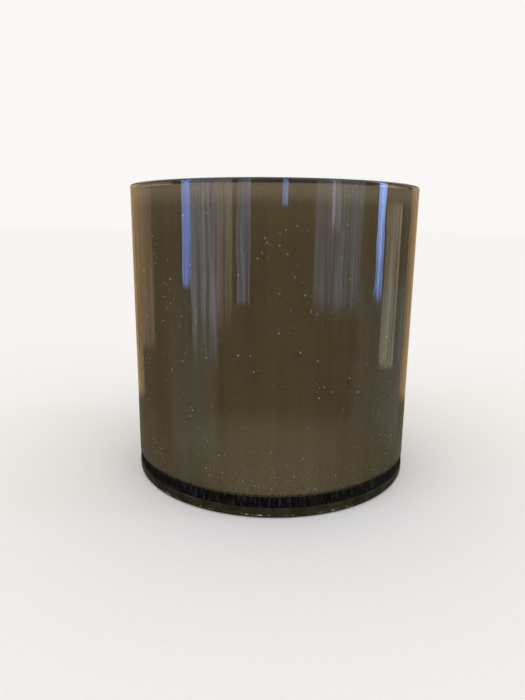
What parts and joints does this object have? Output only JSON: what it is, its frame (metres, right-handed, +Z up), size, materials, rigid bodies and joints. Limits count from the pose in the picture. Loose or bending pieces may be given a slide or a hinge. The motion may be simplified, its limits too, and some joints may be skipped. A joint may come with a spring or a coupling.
{
  "type": "glass cylinder vase",
  "caption": "Straight-sided cylinder vase in thick glass: clear casing over an opaque brown lining, on a heavy glass base with a dark scored band.",
  "frame": {"origin": "centre of the flat resting face under the foot disc", "axes": "+Z up along the vase's axis of symmetry, towards the mouth"},
  "size_m": [0.198, 0.198, 0.2],
  "materials": {
    "clear_glass": "clear, fire-polished, a few seed bubbles",
    "taupe_glass": "opaque, polished",
    "smoked_base_glass": "dark smoked, polished",
    "scored_black_glass": "black, matt, scored from top to bottom",
    "smoked_foot_glass": "smoke brown, ground and polished edge"
  },
  "bodies": {
    "root": {"clear_casing": "clear_glass", "colour_lining": "taupe_glass", "floor_slab": "smoked_base_glass", "dark_band": "scored_black_glass", "foot_disc": "smoked_foot_glass"}
  },
  "joints": []
}
